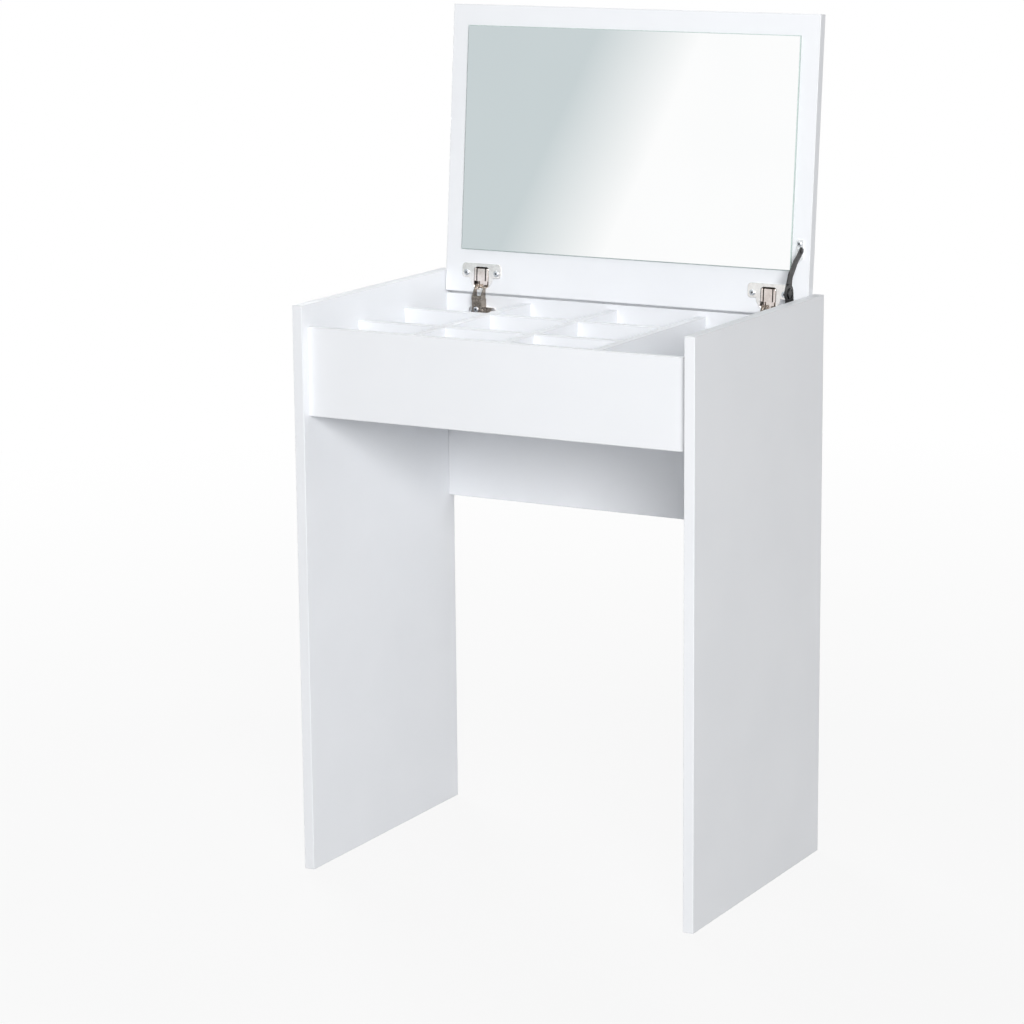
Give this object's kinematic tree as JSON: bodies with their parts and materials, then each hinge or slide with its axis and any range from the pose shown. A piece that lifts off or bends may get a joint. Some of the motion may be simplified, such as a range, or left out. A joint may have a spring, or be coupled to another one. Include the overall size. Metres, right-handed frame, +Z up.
{
  "type": "vanity table with mirror",
  "caption": "Small white board dressing table with a divided storage box under a lid that swings up on cup hinges and carries a mirror, held by a folding stay.",
  "frame": {"origin": "on the floor, at the middle of the space that the table takes with its lid open", "axes": "+Z up, +X to the right of a sitter who faces the mirror, +Y to the rear"},
  "size_m": [0.6, 0.4308, 1.1659],
  "materials": {
    "white_board": "satin white melamine",
    "mirror": "silvered glass",
    "foam_tape": "matt foam",
    "beech": "bare beech",
    "zinc": "bright zinc",
    "hinge_nickel": "nickel plate",
    "hinge_steel": "nickel-plated pressed steel",
    "stay_bracket_metal": "zinc-plated steel",
    "stay_dark_metal": "dark grey coated steel"
  },
  "bodies": {
    "table": {"side_panel_left": "white_board", "side_panel_right": "white_board", "front_apron": "white_board", "back_panel": "white_board", "box_floor": "white_board", "divider_left": "white_board", "divider_middle": "white_board", "divider_right": "white_board", "cross_divider_front": "white_board", "cross_divider_rear": "white_board", "cam_locks": "zinc", "cam_bolts": "zinc", "dowels": "beech", "hinge_arm_screws": "zinc", "hinge_base_screws": "zinc", "stay_anchor_plate": "stay_dark_metal", "stay_plate_screws": "zinc", "hinge_arm_left": "hinge_steel", "hinge_base_left": "hinge_steel", "hinge_arm_right": "hinge_steel", "hinge_base_right": "hinge_steel"},
    "lid": {"lid_panel": "white_board", "mirror_glass": "mirror", "mirror_tape": "foam_tape", "hinge_cup_screws": "zinc", "stay_lid_bracket": "stay_bracket_metal", "stay_lid_rivet": "zinc", "stay_bracket_screws": "zinc", "hinge_cup_left": "hinge_nickel", "hinge_knuckle_left": "hinge_nickel", "hinge_pin_left": "hinge_steel", "hinge_cup_right": "hinge_nickel", "hinge_knuckle_right": "hinge_nickel", "hinge_pin_right": "hinge_steel"},
    "stay_upper": {"stay_upper_arm": "stay_dark_metal"},
    "stay_lower": {"stay_lower_arm": "stay_dark_metal", "stay_hub_rivet": "stay_dark_metal", "stay_friction_washer": "stay_dark_metal", "stay_hub_cap": "stay_dark_metal"}
  },
  "joints": [
    {"name": "lid_hinge", "type": "hinge", "parent": "table", "child": "lid", "pos_m": [0, 0.17506, 0.7697], "axis": [1, 0, 0], "range_deg": [0, 95]},
    {"name": "stay_lid_pivot", "type": "hinge", "parent": "lid", "child": "stay_upper", "pos_m": [0.2752, 0.16291, 0.85107], "axis": [1, 0, 0], "range_deg": [-95, 0]},
    {"name": "stay_foot_pivot", "type": "hinge", "parent": "table", "child": "stay_lower", "pos_m": [0.2772, 0.13171, 0.71713], "axis": [1, 0, 0], "range_deg": [0, 95]}
  ],
  "couplings": [
    {"joint": "stay_lid_pivot", "follows": "lid_hinge", "ratio": -1},
    {"joint": "stay_foot_pivot", "follows": "lid_hinge", "ratio": 1}
  ]
}
